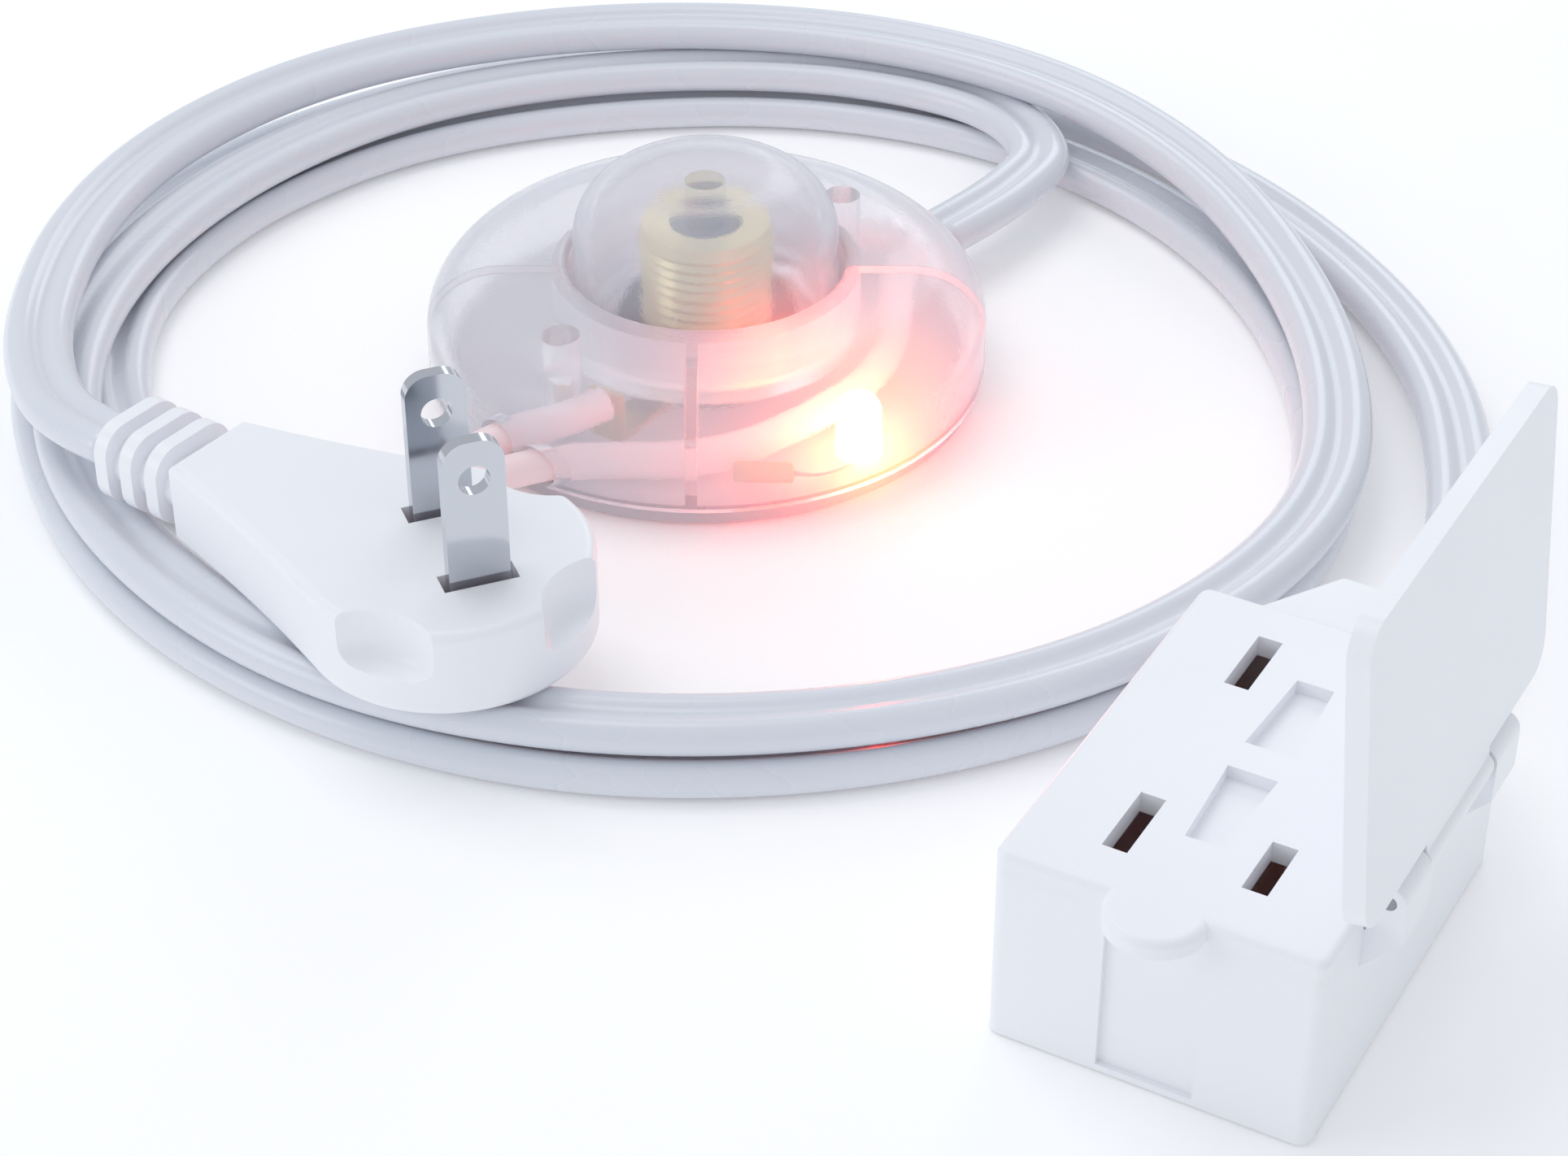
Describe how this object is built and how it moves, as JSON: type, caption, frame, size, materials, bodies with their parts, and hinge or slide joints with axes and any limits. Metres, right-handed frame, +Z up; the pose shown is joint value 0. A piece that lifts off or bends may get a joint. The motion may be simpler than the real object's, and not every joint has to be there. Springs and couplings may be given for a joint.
{
  "type": "extension cord",
  "caption": "Flat extension cord with an angled plug, a clear lighted foot switch on the cord and an outlet block with a flip-up lid, lying in a loose coil",
  "frame": {"origin": "centre of the foot switch's underside, on the floor", "axes": "+Z up out of the floor and along the switch's button; +X to the side on which the outlet block lies; the outlet block and the plug lie on the -Y side"},
  "size_m": [0.1669, 0.2037, 0.0541],
  "materials": {
    "white_plastic": "satin",
    "cord_vinyl": "satin",
    "clear_plastic": "frosted",
    "grey_base": "satin",
    "black_plastic": "matte",
    "nickel_blade": "polished",
    "brass": "satin",
    "steel": "satin",
    "lamp_glass": "polished",
    "ceramic": "matte"
  },
  "bodies": {
    "cord_set": {"switch_base": "grey_base", "switch_cover_front": "clear_plastic", "switch_cover_rear": "clear_plastic", "cover_screws": "brass", "threaded_neck": "brass", "return_spring": "steel", "mechanism_case": "black_plastic", "line_contact": "brass", "load_contact": "brass", "neon_lamp": "lamp_glass", "lamp_lead": "steel", "lamp_resistor": "ceramic", "through_conductor": "cord_vinyl", "line_conductor": "cord_vinyl", "load_conductor": "cord_vinyl", "cord_plug_to_switch": "cord_vinyl", "cord_switch_to_outlet": "cord_vinyl", "plug_body": "white_plastic", "plug_strain_relief": "white_plastic", "plug_blade_carrier": "black_plastic", "plug_blade_a": "nickel_blade", "plug_blade_b": "nickel_blade", "outlet_housing": "white_plastic", "outlet_top": "white_plastic", "neutral_bus": "brass", "hot_bus": "brass", "outlet_screw": "steel", "hinge_pin": "steel"},
    "button": {"switch_button": "clear_plastic", "button_plunger": "clear_plastic"},
    "rotor": {"contact_rotor": "white_plastic", "contact_bridge": "brass"},
    "lid": {"outlet_lid": "white_plastic"}
  },
  "joints": [
    {"name": "button_press", "type": "slide", "parent": "cord_set", "child": "button", "axis": [0, 0, -1], "range_m": [0, 0.003], "stiffness_N_per_m": 800, "springref_m": -0.002, "deforming": ["return_spring"]},
    {"name": "rotor_turn", "type": "hinge", "parent": "cord_set", "child": "rotor", "pos_m": [0, 0, 0], "axis": [0, 0, 1], "continuous": true},
    {"name": "lid_hinge", "type": "hinge", "parent": "cord_set", "child": "lid", "pos_m": [0.06614, -0.10613, 0.0221], "axis": [0.4894, 0.8721, 0], "range_deg": [-85, 10]}
  ]
}
